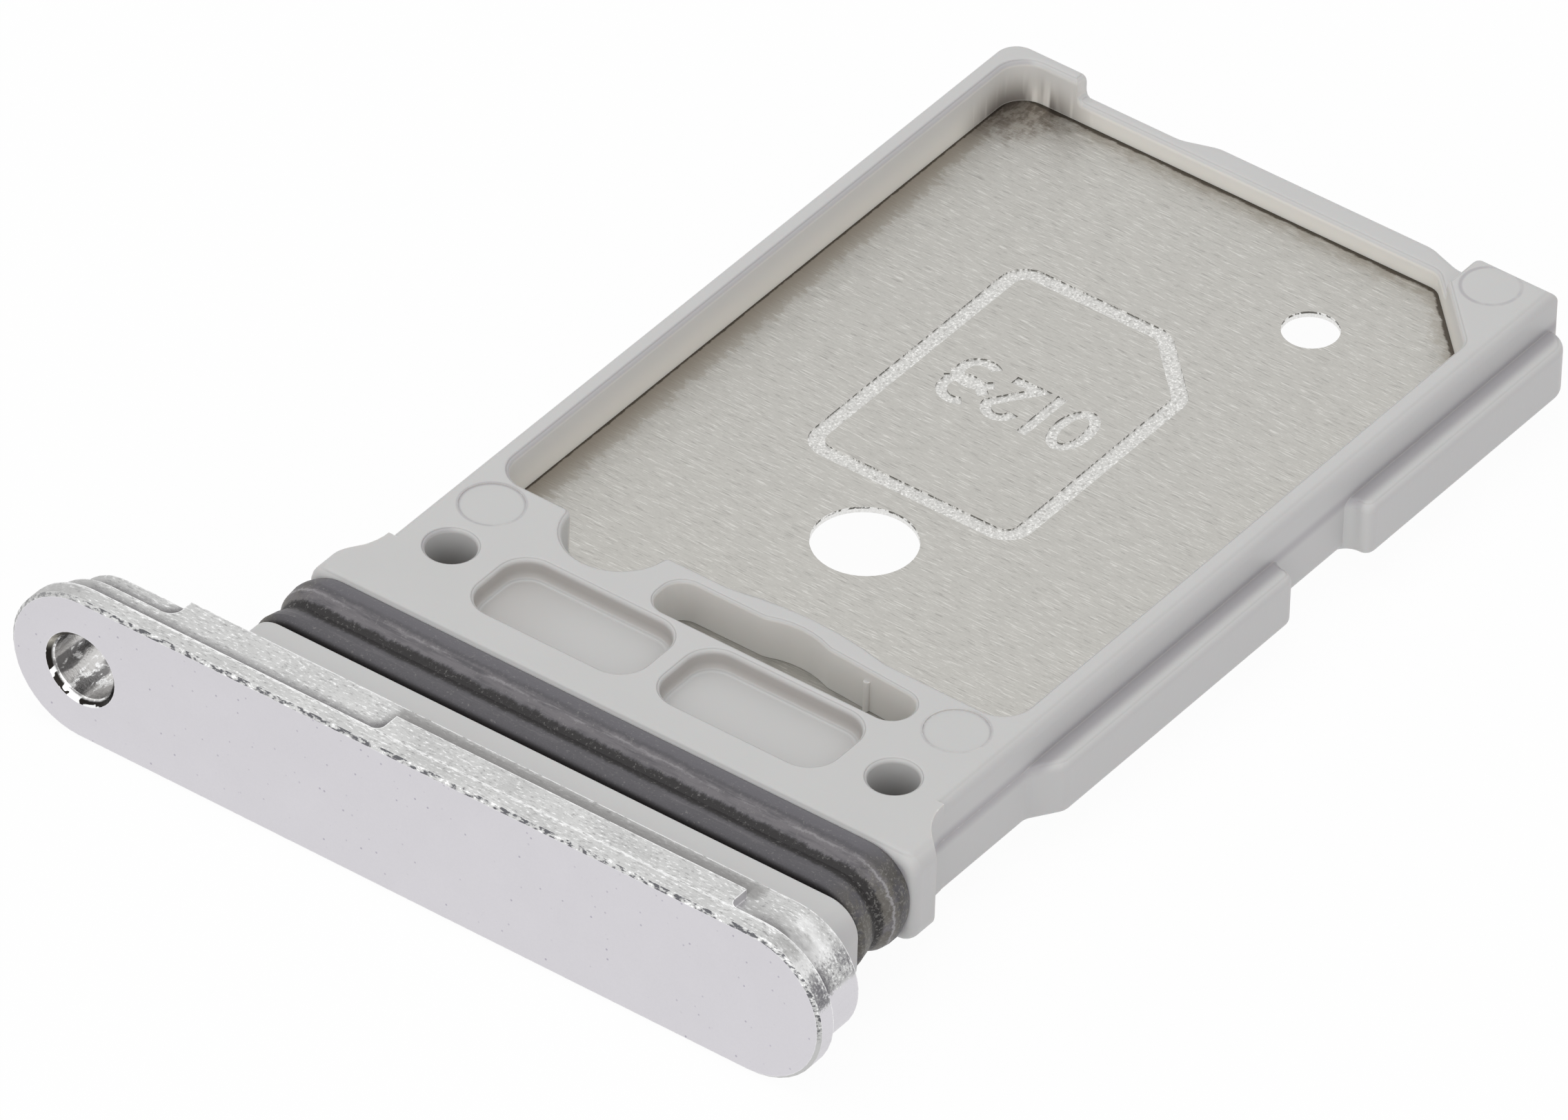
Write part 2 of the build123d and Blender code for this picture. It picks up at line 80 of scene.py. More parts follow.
class Finish:
    # a material, with its nodes placed through one method
    def __init__(self, name, tree=None):
        if tree is None:
            self.material = bpy.data.materials.new(name)
            self.material.use_nodes = True
            tree = self.material.node_tree
        self.tree = tree
        self.shader = tree.nodes.get("Principled BSDF")

    def node(self, kind, settings=None, sockets=None, output=0):
        made = self.tree.nodes.new(kind)
        for key, value in (settings or {}).items():
            setattr(made, key, value)
        for key, value in (sockets or {}).items():
            self.put(made.inputs[key], value)
        return Signal(self, made.outputs[output]) if made.outputs else None

    def put(self, socket, value):
        if isinstance(value, Signal):
            self.tree.links.new(value.socket, socket)
        elif isinstance(value, tuple) and socket.type == "RGBA":
            socket.default_value = (*value, 1)
        else:
            socket.default_value = value

    def math(self, operation, *values):
        return self.node("ShaderNodeMath", {"operation": operation}, dict(enumerate(values)))

    def vector(self, operation, sockets, output=0):
        return self.node("ShaderNodeVectorMath", {"operation": operation}, sockets, output)

    def least(self, a, b):
        return self.math("MINIMUM", a, b)

    def most(self, a, b):
        return self.math("MAXIMUM", a, b)

    def size(self, a):
        return self.math("ABSOLUTE", a)

    def place(self):
        # the point of the surface, in millimetres of the part's frame
        spot = self.node("ShaderNodeTexCoord", output="Object")
        return self.vector("SCALE", {0: spot, "Scale": 1 / mm})

    def facing(self):
        return self.node("ShaderNodeTexCoord", output="Normal")

    def parts(self, vector):
        split = self.node("ShaderNodeSeparateXYZ", sockets={0: vector}).socket.node
        return tuple(Signal(self, split.outputs[i]) for i in range(3))

    def stretch(self, vector, factors):
        return self.vector("MULTIPLY", {0: vector, 1: factors})

    def noise(self, vector, scale, detail=2.0, roughness=0.5):
        return self.node("ShaderNodeTexNoise", None,
                         {"Vector": vector, "Scale": scale, "Detail": detail, "Roughness": roughness})

    def rise(self, value, low, high, bottom=0.0, top=1.0):
        # bottom up to low, top from high on; with low above high it falls
        return self.node("ShaderNodeMapRange", {"interpolation_type": "SMOOTHSTEP"},
                         {"Value": value, "From Min": low, "From Max": high,
                          "To Min": bottom, "To Max": top})

    def band(self, value, start, full, fullEnd, end):
        # 0 before start, 1 from full to fullEnd, 0 after end
        return self.rise(value, start, full) * self.rise(value, end, fullEnd)

    def near(self, value, middle, full, end):
        # 1 within full of the middle, 0 from end on
        return self.rise(self.size(value - middle), end, full)

    def mix(self, factor, a, b):
        return self.node("ShaderNodeMix", {"data_type": "RGBA"}, {0: factor, 6: a, 7: b}, 2)

    def shade(self, colour, amount):
        # a colour made lighter or darker by a changing amount
        return self.vector("SCALE", {0: colour, "Scale": amount})

    def gap(self, a, b):
        return self.vector("DISTANCE", {0: a, 1: b}, "Value")

    def flatGap(self, a, x, y):
        # distance seen from above
        return self.gap(self.stretch(a, (1, 1, 0)), (x, y, 0))

    def edge(self, radius, low, high):
        # near a sharp outer edge the rounded normal leaves the true one
        soft = self.node("ShaderNodeBevel", {"samples": 6}, {"Radius": radius * mm})
        true = self.node("ShaderNodeNewGeometry", output="True Normal")
        return self.rise(1 - self.vector("DOT_PRODUCT", {0: soft, 1: true}, "Value"), low, high)

    def openness(self, reach, samples):
        # 1 in the open, less in a corner
        return self.node("ShaderNodeAmbientOcclusion", {"samples": samples},
                         {"Distance": reach * mm}, "AO")

    def bump(self, height, depth, strength):
        return self.node("ShaderNodeBump", None,
                         {"Height": height, "Distance": depth * mm, "Strength": strength})

    def fill(self, **values):
        for key, value in values.items():
            self.put(self.shader.inputs[key.replace("_", " ")], value)

    def wear(self, node):
        # the finish takes the place of the CAD node's own material
        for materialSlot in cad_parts[node].material_slots:
            materialSlot.material = self.material
        print("finish on", node)


# here and below, lengths are in millimetres and a noise's scale or stretch is per millimetre

# face plate: blasted and anodised aluminium
faceMetal = {
    "front": (0.690, 0.675, 0.705),
    "top": (0.57, 0.57, 0.565),
    # white of the tops' flecks, also of the painted highlights and glints
    "fleckAndHighlight": (0.95, 0.95, 0.95),
    "shadow": (0.15, 0.145, 0.15),
    # painted shade on the low terrace and the left end
    "band": (0.24, 0.235, 0.23),
    "bendShade": (0.17, 0.165, 0.18),
    "speck": (0.30, 0.27, 0.36),
    "edge": (0.13, 0.13, 0.14),
    "bore": (0.66, 0.65, 0.64),
    "boreShade": (0.22, 0.215, 0.215),
    "bevelDark": (0.020, 0.018, 0.016),
    "dull": (0.42, 0.40, 0.35),
    "bendStart": 5.82,  # where the straight top ends, either side of the middle
    "slab": 0.32,  # thickness of the front slab
    "terrace": 0.75,  # how far behind the front the lower step starts
    "padMiddle": 2.195,
    "padLength": 6.05,
    "holeAt": (-5.82, 0.0, 1.23),
    "holeRadius": 0.62,
    "grain": 34.0,
    "cloudScale": 1.6,
    "speckScale": 6.5,
    "chanceScale": 3.7,
    "fleckStretch": (9.0, 26.0, 26.0),
    "patchStretch": (1.1, 2.2, 2.2),
    "dashStretch": (9.0, 20.0, 20.0),
    "wobbleStretch": (4.0, 1.5, 4.0),
    "sparkStretch": (7.0, 3.0, 7.0),
    "facetScale": 4.5,
    "cornerReach": 0.32,  # how far from a corner its shade reaches
    "cornerShade": 0.95,
    "padEndShine": 0.7,
    "slabShine": 0.6,
    "rightShade": 0.30,
    "leftShade": 0.65,
    "edgeReach": 0.04,
    "frontRoughness": 0.55,
    "topRoughness": 0.42,
    "boreRoughness": 0.22,
    "depth": 0.004,
}


def makeFaceMetal(m):
    f = Finish("aluminium")
    p = f.place()
    x, y, z = f.parts(p)
    nx, ny, nz = f.parts(f.facing())
    back = y - faceLow.y
    ahead = -ny
    front = f.rise(ahead, 0.75, 0.95) * f.rise(back, 0.12, 0.02)
    fine = f.noise(p, m["grain"], 2, 0.6)
    broad = f.noise(p, m["cloudScale"], 2, 0.5)
    blasted = f.shade(m["front"], 0.955 + 0.05 * fine + 0.04 * broad)

    # sparse dark specks on the front
    cells = f.node("ShaderNodeTexVoronoi", None, {"Vector": p, "Scale": m["speckScale"]})
    speck = f.rise(cells, 0.16, 0.06) * f.rise(f.noise(p, m["chanceScale"], 1, 0.5), 0.48, 0.6)
    colour = f.mix(speck * 0.55, blasted, m["speck"])

    # rough bright tops, with short wavy flecks lengthwise
    flecks = f.noise(f.stretch(p, m["fleckStretch"]), 1.0, 4, 0.65)
    patches = f.noise(f.stretch(p, m["patchStretch"]), 1.0, 3, 0.6)
    top = f.shade(m["top"], 0.60 + 0.30 * flecks + 0.50 * patches)
    top = f.mix(f.rise(flecks, 0.56, 0.66) * 0.8, top, m["fleckAndHighlight"])
    top = f.mix(f.rise(flecks, 0.44, 0.32) * 0.5, top, m["shadow"])

    # painted shade in the corner behind each step, but not round the pad's ends, whose end faces get a
    # painted highlight
    padEnd = f.rise(f.size(nx), 0.8, 0.95) * f.rise(f.size(x), m["bendStart"] + 0.1, m["bendStart"])
    padStop = m["padMiddle"] + m["padLength"] / 2
    beside = f.band(x - padStop, -0.06, -0.02, 0.15, 0.45)
    corner = f.rise(f.openness(m["cornerReach"], 8), 0.955, 0.885) * (1 - padEnd) * (1 - 0.8 * beside)
    top = f.mix(corner * m["cornerShade"], top, m["shadow"])
    top = f.mix(padEnd * m["padEndShine"], top, m["fleckAndHighlight"])

    # a painted highlight along the slab's back edge
    slabEdgeHighlight = f.near(back, m["slab"] - 0.02, 0.015, 0.035) * f.rise(nz, -0.1, 0.2)
    top = f.mix(slabEdgeHighlight * f.rise(flecks, 0.38, 0.55) * m["slabShine"], top, m["fleckAndHighlight"])

    # the ends bend down: a painted highlight in streaks where they still face up, then mottled painted
    # shade, then smooth like the front
    bend = f.rise(f.size(x), m["bendStart"], m["bendStart"] + 0.3)
    turned = nz + 0.30 * (flecks - 0.5)
    bendHighlight = bend * f.rise(turned, 0.55, 0.75) * f.rise(patches, 0.40, 0.60)
    top = f.mix(bendHighlight * 0.6, top, m["fleckAndHighlight"])
    mottledShade = bend * f.rise(turned, 0.80, 0.50) * f.rise(turned, 0.26, 0.36)
    mottledShade = mottledShade * f.rise(patches * 0.5 + flecks * 0.5, 0.62, 0.42)
    top = f.mix(mottledShade * 0.9, top, m["bendShade"])
    top = f.mix(f.rise(turned, 0.34, 0.28), top, blasted)

    # painted shade in bands on the low terrace, behind the pad and right of it, and at the left end
    behind = f.rise(y, faceHigh.y - 0.10, faceHigh.y - 0.02)
    lowTop = f.rise(z, faceHigh.z - 0.02, faceHigh.z - 0.06) * f.rise(nz, 0.6, 0.9)
    nearPad = f.near(x, m["padMiddle"], m["padLength"] / 2 + 0.05, m["padLength"] / 2 + 0.25)
    shaded = lowTop * nearPad * f.rise(back, m["terrace"] - 0.05, m["terrace"] + 0.05)
    top = f.mix(shaded * (0.85 - 0.25 * flecks - 0.2 * behind), top, m["band"])
    rightLowShade = lowTop * f.rise(x, padStop, padStop + 0.3)
    rightLowShade = rightLowShade * f.rise(back, m["terrace"], m["terrace"] - 0.10)
    top = f.mix(rightLowShade * m["rightShade"], top, m["band"])
    leftEndShade = f.rise(x, -5.6, -6.2) * f.rise(patches, 0.30, 0.60)
    top = f.mix(leftEndShade * m["leftShade"], top, m["band"])
    colour = f.mix(front, top, colour)

    # bore of the eject-pin hole: diagonal light and dark bands, partly machining marks and partly
    # painted reflection, with painted white highlights
    radius = m["holeRadius"]
    across = f.gap(f.stretch(p, (1, 0, 1)), m["holeAt"])
    bore = f.rise(across, radius + 0.01, radius - 0.01) * f.rise(ahead, 0.95, 0.8)
    wobble = f.noise(f.stretch(p, m["wobbleStretch"]), 1.0, 3, 0.6)
    bands = f.math("SINE", (x - z) * 11.0 + wobble * 6.0)
    boreColour = f.mix(f.rise(bands, -0.6, 0.5), m["boreShade"], m["bore"])
    boreHighlights = f.noise(f.stretch(p, m["sparkStretch"]), 1.0, 3, 0.65)
    boreColour = f.mix(f.rise(boreHighlights, 0.53, 0.62), boreColour, m["fleckAndHighlight"])
    colour = f.mix(bore, colour, boreColour)

    # broken line of dark dashes and painted white glints along the sharp edges
    rim = f.band(ahead, 0.35, 0.60, 0.85, 0.95) * f.rise(back, 0.08, 0.05)
    dashes = f.noise(f.stretch(p, m["dashStretch"]), 1.0, 3, 0.6)
    edgeGlints = f.edge(m["edgeReach"], 0.015, 0.12) * (1 - rim) * f.rise(dashes, 0.35, 0.50)
    colour = f.mix(edgeGlints, colour, m["fleckAndHighlight"])
    upper = f.rise(nz, -0.12, 0.10)
    upper = upper * f.rise(x, -m["bendStart"] - 0.4, -m["bendStart"] + 0.4, 0.60, 1.0)
    dark = f.mix(upper, m["top"], m["edge"])
    colour = f.mix(rim, colour, f.mix(f.rise(dashes, 0.42, 0.54), dark, m["top"]))
    colour = f.mix(rim * upper * f.rise(dashes, 0.60, 0.66), colour, m["fleckAndHighlight"])

    # painted reflection on the hole's bevel: black and white facets below, duller above
    bevel = rim * f.rise(across, radius + 0.03, radius + 0.01)
    facets = f.noise(p, m["facetScale"], 2, 0.45)
    glint = f.mix(f.rise(facets, 0.53, 0.56), m["bevelDark"], m["fleckAndHighlight"])
    above = f.rise(z - m["holeAt"][2], 0.05, 0.30)
    glint = f.mix(above, glint, f.shade(m["dull"], 0.5 + facets))
    colour = f.mix(bevel, colour, glint)

    rough = m["topRoughness"] + front * (m["frontRoughness"] - m["topRoughness"])
    rough = rough + bore * (m["boreRoughness"] - m["topRoughness"])
    height = fine * (1 - 0.6 * front) + flecks * (1 - front) * 1.5
    f.fill(Base_Color=colour, Metallic=1.0, Roughness=rough, Normal=f.bump(height, m["depth"], 0.8))
    f.wear("face_plate")


# carrier: light grey moulded plastic
framePlastic = {
    "colour": (0.606, 0.604, 0.598),
    # warm painted light on the pocket and slot walls
    "inner": (0.940, 0.905, 0.840),
    "nookReflection": (0.200, 0.180, 0.165),
    # grey of the painted shade, also of the ejector marks' rings
    "shadeAndRing": (0.360, 0.340, 0.370),
    "recessShadow": (0.430, 0.400, 0.375),
    # black of the painted shade deep in the core-pin holes
    "bottom": (0.120, 0.112, 0.112),
    # rims: rubbed wear and painted highlight
    "rim": (0.700, 0.680, 0.630),
    "glint": (0.950, 0.945, 0.940),
    "pocketNear": -3.385,  # the pocket's wall at the crossbar
    "pocketHalfWidth": 4.53,
    "recessNear": -6.225,
    "recessFar": -4.42,
    "recessFloor": 1.67,
    "recessMiddle": 1.05,
    "recessReach": 3.20,
    "slotMiddle": 2.19,
    "slotReach": 2.30,
    "seamHeight": 1.38,  # top of the guide flange
    "marks": ((5.115, 8.955, 0.44), (-3.005, -3.895, 0.48), (5.105, -3.895, 0.48)),  # x, y, radius
    "holes": ((-2.885, -4.995), (5.015, -5.245)),
    "holeRadius": 0.372,
    "cloudScale": 0.7,
    "peelScale": 7.0,
    "grain": 45.0,
    "streakStretch": (4.0, 4.0, 0.5),
    "glintScale": 9.0,
    "cornerReach": 0.5,
    "cornerShade": 0.40,
    "creaseShade": 0.45,
    "seamShade": 0.62,
    "sideShade": 0.22,
    "shoulderShade": 0.40,
    "recessShade": 0.75,
    "slotGlow": 0.35,
    "edgeReach": 0.05,
    "roughness": 0.42,
    "specular": 0.5,
    "scatter": 0.06,
    "scatterReach": 0.4,
    "depth": 0.006,
}


def makeFramePlastic(m):
    f = Finish("plastic")
    p = f.place()
    x, y, z = f.parts(p)
    nx, _, nz = f.parts(f.facing())
    clouds = f.noise(p, m["cloudScale"], 3, 0.55)
    peel = f.noise(p, m["peelScale"], 2, 0.5)
    fine = f.noise(p, m["grain"], 2, 0.5)
    upright = f.rise(nz, 0.6, 0.3)
    colour = f.shade(m["colour"], 0.975 + 0.05 * clouds)

    # painted warm light on the pocket walls towards the sheet, and painted brown reflection in streaks
    # in the far left corner
    wall = upright * f.near(x, (sheetLow.x + sheetHigh.x) / 2,
                            m["pocketHalfWidth"] - 0.03, m["pocketHalfWidth"] + 0.03)
    wall = wall * f.band(y, m["pocketNear"] - 0.05, m["pocketNear"] + 0.05,
                         sheetHigh.y + 0.02, sheetHigh.y + 0.10)
    low = f.near(z, sheetHigh.z, -0.02, 0.62)
    colour = f.mix(wall * (0.25 + 0.60 * low), colour, m["inner"])
    nookReflection = wall * low * f.rise(f.flatGap(p, sheetLow.x + 0.15, sheetHigh.y - 0.15), 1.6, 0.5)
    nookReflection = nookReflection * f.rise(f.noise(f.stretch(p, m["streakStretch"]), 1.0, 2, 0.6), 0.30, 0.55)
    colour = f.mix(nookReflection, colour, m["nookReflection"])

    # painted shade on the left rail's inner shoulder, a little darker
    shoulder = f.rise(nx, 0.10, 0.45) * f.rise(nz, 0.2, 0.5) * f.rise(x, -3.0, -3.2)
    colour = f.mix(shoulder * m["shoulderShade"], colour, m["shadeAndRing"])

    # painted shade gathered in the corners and creases
    openness = f.openness(m["cornerReach"], 6)
    corner = f.rise(openness, 0.72, 0.25) * (1 - 0.8 * wall)
    colour = f.mix(corner * m["cornerShade"], colour, m["shadeAndRing"])
    fromSide = bodyHigh.x - x
    crease = f.rise(openness, 0.68, 0.45) * f.rise(fromSide, 0.70, 0.60)
    colour = f.mix(crease * m["creaseShade"], colour, m["shadeAndRing"])

    # painted shade: a soft dark line at the height where the flange meets the rail
    flangeCreaseShade = f.near(z, m["seamHeight"], 0.01, 0.15) * f.band(fromSide, 0.20, 0.34, 0.48, 0.52)
    colour = f.mix(flangeCreaseShade * (m["seamShade"] - m["creaseShade"] * crease), colour, m["shadeAndRing"])

    # painted shade on the right outer side, a little darker
    outerSide = f.rise(nx, 0.5, 0.95) * f.rise(fromSide, 1.3, 1.2)
    colour = f.mix(outerSide * m["sideShade"], colour, m["shadeAndRing"])

    # painted shade in the two recesses: darker walls round a slightly darker floor
    sunk = f.band(y, m["recessNear"] - 0.05, m["recessNear"] + 0.05,
                  m["recessFar"] - 0.05, m["recessFar"])
    sunk = sunk * f.near(x, m["recessMiddle"], m["recessReach"], m["recessReach"] + 0.10)
    sunk = sunk * f.band(z, m["recessFloor"] - 0.06, m["recessFloor"] - 0.03,
                         bodyHigh.z - 0.12, bodyHigh.z - 0.02)
    colour = f.mix(sunk * f.rise(nz, 0.95, 0.60) * m["recessShade"], colour, m["recessShadow"])
    floorShade = f.rise(x, -0.2, -2.1, 0.06, 0.40)
    colour = f.mix(sunk * f.rise(nz, 0.95, 0.99) * floorShade, colour, m["recessShadow"])

    # the slot's walls catch warm light from the sheet
    slotWall = f.band(y, m["recessFar"], m["recessFar"] + 0.06,
                      m["pocketNear"] - 0.01, m["pocketNear"] + 0.05)
    slotWall = slotWall * f.near(x, m["slotMiddle"], m["slotReach"], m["slotReach"] + 0.10)
    colour = f.mix(slotWall * upright * m["slotGlow"], colour, m["inner"])

    # painted shade: the core-pin holes darken towards the bottom
    deep = f.rise(z, bodyHigh.z - 0.05, bodyHigh.z - 1.15)
    for hole in m["holes"]:
        inside = f.rise(f.flatGap(p, *hole), m["holeRadius"] + 0.06, m["holeRadius"])
        colour = f.mix(inside * deep, colour, m["bottom"])

    # rounded rims are lighter and a little creamy, partly rubbed wear and partly painted highlight,
    # with painted glints on the crossbar
    edge = f.edge(m["edgeReach"], 0.02, 0.2)
    colour = f.mix(edge * 0.5, colour, m["rim"])
    glint = edge * f.rise(f.noise(p, m["glintScale"], 2, 0.6), 0.56, 0.64) * f.rise(nz, 0.2, 0.6)
    colour = f.mix(glint * f.rise(y, -3.0, -3.4) * 0.7, colour, m["glint"])

    # round ejector marks, each with a soft dark ring
    height = peel * 0.5 + fine * 0.12
    flat = f.rise(nz, 0.8, 0.95)
    for markX, markY, radius in m["marks"]:
        fromMiddle = f.flatGap(p, markX, markY)
        ring = f.near(fromMiddle, radius, 0.010, 0.045) * flat * f.rise(clouds + 0.3 * peel, 0.45, 0.70)
        colour = f.mix(ring * 0.50, colour, m["shadeAndRing"])
        height = height + f.rise(fromMiddle, radius - 0.015, radius + 0.015) * flat * 1.2
    f.fill(Base_Color=colour, Roughness=m["roughness"] - 0.05 + 0.10 * clouds,
           Specular_IOR_Level=m["specular"], Subsurface_Weight=m["scatter"],
           Subsurface_Scale=m["scatterReach"] * mm, Normal=f.bump(height, m["depth"], 0.6))
    f.wear("carrier_frame")


# sheet: brushed steel with an etched mark
sheetSteel = {
    "colour": (0.500, 0.490, 0.462),
    "light": (0.680, 0.670, 0.640),
    "dim": (0.340, 0.330, 0.312),
    "tarnishAndReflection": (0.340, 0.305, 0.262),
    "grime": (0.100, 0.085, 0.070),
    # brown of the painted reflection in the far left corner
    "brown": (0.150, 0.125, 0.105),
    "etched": (0.625, 0.620, 0.602),
    "bead": (0.900, 0.895, 0.880),
    "cutWallHighlight": (0.860, 0.855, 0.840),
    "fringeShade": (0.170, 0.165, 0.150),
    "longGrain": (2.4, 26.0, 8.0),
    "shortGrain": (6.0, 50.0, 8.0),
    "nicks": (4.0, 48.0, 8.0),
    "nickStrength": 0.75,
    "gritScale": 38.0,
    "raggedStretch": (4.0, 9.0, 1.0),
    "patchStretch": (7.0, 4.0, 1.0),
    "bitScale": 26.0,
    "skipScale": 16.0,
    "dotScale": 11.0,
    "etchDepth": 0.02,
    "grip": 0.15,  # width of the rim that the frame holds
    "cutCorner": 1.5,
    "bandWidth": 0.34,  # of the tarnish along the left wall
    "roughness": 0.38,
    "depth": 0.002,
}


def makeSheetSteel(m):
    f = Finish("steel")
    p = f.place()
    x, y, z = f.parts(p)
    nz = f.parts(f.facing())[2]
    long = f.noise(f.stretch(p, m["longGrain"]), 1.0, 4, 0.65)
    short = f.noise(f.stretch(p, m["shortGrain"]), 1.0, 3, 0.65)
    nicks = f.noise(f.stretch(p, m["nicks"]), 1.0, 3, 0.6)
    grit = f.noise(p, m["gritScale"], 1, 0.5)
    brushed = long * 0.6 + short * 0.4
    colour = f.shade(m["colour"], 0.78 + 0.34 * brushed + 0.10 * grit)
    colour = f.mix(f.rise(nicks, 0.57, 0.66) * m["nickStrength"], colour, m["light"])
    colour = f.mix(f.rise(nicks, 0.42, 0.33) * m["nickStrength"], colour, m["dim"])

    # distances from the pocket's walls; the frame grips the sheet's rim
    fromLeft = x - (sheetLow.x + m["grip"])
    fromFar = (sheetHigh.y - m["grip"]) - y
    fromRight = (sheetHigh.x - m["grip"]) - x
    fromCut = (fromFar + fromRight - m["cutCorner"]) * math.sqrt(0.5)
    fromNook = f.math("SQRT", fromLeft * fromLeft + fromFar * fromFar)
    nearWall = f.least(fromFar, f.least(fromCut, fromLeft * 2))

    # brown tarnish creeping in from the walls, widest by the left one, and painted brown reflection of
    # the walls in the far left corner
    ragged = f.noise(f.stretch(p, m["raggedStretch"]), 1.0, 4, 0.7) - 0.5
    reach = m["bandWidth"] * f.rise(fromFar, 1.0, 3.5, 0.8, 1.15)
    tarnishAndReflection = f.rise(fromLeft + ragged * 0.7 - reach, 0.06, -0.06)
    tarnishAndReflection = tarnishAndReflection * (0.50 + 0.35 * f.rise(fromLeft, 0.4, 0.05))
    corner = f.rise(fromNook + ragged * 1.2, 1.35, 0.55)
    tan = f.rise(nearWall + ragged * 1.2, 0.30, 0.02)
    colour = f.mix(f.most(f.most(tarnishAndReflection, corner * 0.8), tan * 0.5), colour, m["tarnishAndReflection"])
    patchy = f.rise(f.noise(f.stretch(p, m["patchStretch"]), 1.0, 3, 0.7), 0.36, 0.58)
    colour = f.mix(corner * patchy * 0.75, colour, m["brown"])
    grime = f.rise(nearWall + ragged * 0.12, 0.085, 0.045)
    colour = f.mix(grime * 0.96, colour, m["grime"])

    # etched mark: a bright grainy floor, and walls dotted with painted shade and bright beads
    upper = f.rise(z, sheetHigh.z - 0.04, sheetHigh.z - 0.03)
    etched = upper * f.rise(z, sheetHigh.z - 0.005, sheetHigh.z - m["etchDepth"] + 0.005)
    bits = f.noise(p, m["bitScale"], 3, 0.7)
    burnt = f.shade(m["etched"], 0.45 + 1.10 * bits)
    burnt = f.mix(f.rise(bits, 0.55, 0.66) * 0.8, burnt, m["bead"])
    burnt = f.mix(f.rise(f.noise(p, m["skipScale"], 2, 0.6), 0.42, 0.34) * 0.5, burnt, m["dim"])
    colour = f.mix(etched * f.rise(nz, 0.5, 0.8), colour, burnt)
    side = f.rise(nz, 0.6, 0.3)
    dots = f.rise(f.noise(p, m["dotScale"], 2, 0.6), 0.44, 0.56)
    colour = f.mix(side * upper, colour, f.mix(dots, m["fringeShade"], m["bead"]))

    # painted highlight on the cut walls of the two holes
    colour = f.mix(side * (1 - upper), colour, f.shade(m["cutWallHighlight"], 0.8 + 0.4 * grit))

    height = brushed + nicks * 2.2 + etched * bits * 3.5
    f.fill(Base_Color=colour, Metallic=1.0, Roughness=m["roughness"] + 0.10 * etched + 0.06 * long,
           Normal=f.bump(height, m["depth"], 0.7))
    f.wear("divider_plate")


# seal: dark grey soft rubber; a band's four values are where it starts, is full,
# stops being full and ends, from the ring's front
sealRubber = {
    "colour": (0.095, 0.091, 0.100),
    # grey of the painted light on the lips
    "lip": (0.178, 0.168, 0.178),
    "back": (0.135, 0.130, 0.145),
    # black of the painted shade in the valley and at the front gap
    "valley": (0.012, 0.010, 0.010),
    # olive tone of the two ends
    "endOlive": (0.130, 0.120, 0.095),
    "crestHighlight": (0.330, 0.320, 0.330),
    "dust": (0.300, 0.290, 0.280),
    "frontStreak": (0.16, 0.22, 0.24, 0.30),
    "valleyBand": (0.30, 0.40, 0.575, 0.635),
    "slopeBand": (0.59, 0.65, 0.78, 0.86),
    "crest": 0.76,
    "wander": 0.17,
    "wanderStretch": (7.0, 3.0, 7.0),
    "streakStretch": (1.1, 9.0, 9.0),
    "patchScale": 5.0,
    "dustScale": 20.0,
    "grain": 30.0,
    "roughness": 0.52,
    "shine": 0.35,
    "depth": 0.008,
}


